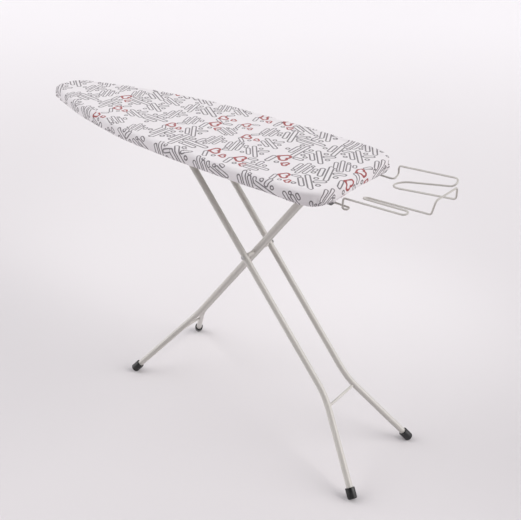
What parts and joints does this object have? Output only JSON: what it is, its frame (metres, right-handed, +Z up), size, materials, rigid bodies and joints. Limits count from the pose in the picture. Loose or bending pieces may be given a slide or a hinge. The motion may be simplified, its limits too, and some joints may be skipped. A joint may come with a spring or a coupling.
{
  "type": "ironing board",
  "caption": "Folding ironing board with a padded printed cover, crossed tube legs on rubber feet, a height lock under the deck and a bent-wire iron rest.",
  "frame": {"origin": "on the floor, under the centre of the object's box", "axes": "+X from the board's nose to its heel and the iron rest, +Y to the far side, +Z up"},
  "size_m": [1.3779, 0.3844, 0.8964],
  "materials": {
    "cover": "white cotton printed with outlined bars, rings and hearts",
    "felt": "needled felt",
    "frame_paint": "satin cream paint",
    "wire_paint": "satin cream paint",
    "zinc": "zinc plated",
    "rubber": "matte moulded rubber",
    "plastic": "fine moulded grain"
  },
  "bodies": {
    "board": {"cover": "cover", "felt_pad": "felt", "vented_deck": "frame_paint", "rim_channel": "frame_paint", "cross_strip_nose": "frame_paint", "cross_strip_rail_front": "frame_paint", "cross_strip_rail_rear": "frame_paint", "cross_strip_middle": "frame_paint", "cross_strip_hinge": "frame_paint", "cross_strip_heel": "frame_paint", "slide_rail_near": "zinc", "slide_rail_far": "zinc", "rail_bumper_near": "rubber", "rail_bumper_far": "rubber", "heel_bracket": "zinc", "heel_pin": "zinc", "heel_pin_clip": "zinc", "heel_spacer_near": "plastic", "heel_spacer_far": "plastic", "lever_bracket": "zinc", "lever_pin": "zinc", "lever_spring": "zinc", "rest_socket_near": "plastic", "rest_socket_far": "plastic"},
    "lock_lever": {"lock_lever": "zinc", "lever_grip_bar": "zinc", "lever_grip": "plastic"},
    "iron_rest": {"iron_rest_wire": "wire_paint", "rest_end_cap_near": "plastic", "rest_end_cap_far": "plastic"},
    "twin_leg": {"twin_tube_near": "frame_paint", "twin_tube_far": "frame_paint", "twin_plug_near": "plastic", "twin_plug_far": "plastic", "twin_foot_near": "rubber", "twin_foot_far": "rubber", "twin_brace": "frame_paint", "pivot_bolt": "zinc", "pivot_nut": "zinc", "pivot_spacer_near": "frame_paint", "pivot_spacer_far": "frame_paint"},
    "wide_frame": {"wide_tube_near": "frame_paint", "wide_tube_far": "frame_paint", "wide_plug_near": "plastic", "wide_plug_far": "plastic", "wide_foot_near": "rubber", "wide_foot_far": "rubber", "wide_crossbar": "frame_paint", "slide_rod": "zinc", "slide_glide_near": "plastic", "slide_glide_far": "plastic"}
  },
  "joints": [
    {"name": "leg_fold", "type": "hinge", "parent": "board", "child": "twin_leg", "pos_m": [0.34302, 0, 0.8305], "axis": [0, 1, 0], "range_deg": [0, 52]},
    {"name": "wide_fold", "type": "hinge", "parent": "twin_leg", "child": "wide_frame", "pos_m": [0.13976, 0, 0.55227], "axis": [0, 1, 0], "range_deg": [-95.35, 0]},
    {"name": "lever_pull", "type": "hinge", "parent": "board", "child": "lock_lever", "pos_m": [-0.078, 0.0345, 0.8395], "axis": [0, -1, 0], "range_deg": [0, 2.5], "stiffness_Nm_per_rad": 20, "springref_deg": -1.72, "deforming": ["lever_spring"]},
    {"name": "rest_pull", "type": "slide", "parent": "board", "child": "iron_rest", "axis": [1, 0, 0], "range_m": [0, 0.1]}
  ],
  "couplings": [
    {"joint": "wide_fold", "follows": "leg_fold", "ratio": -1.8336}
  ]
}
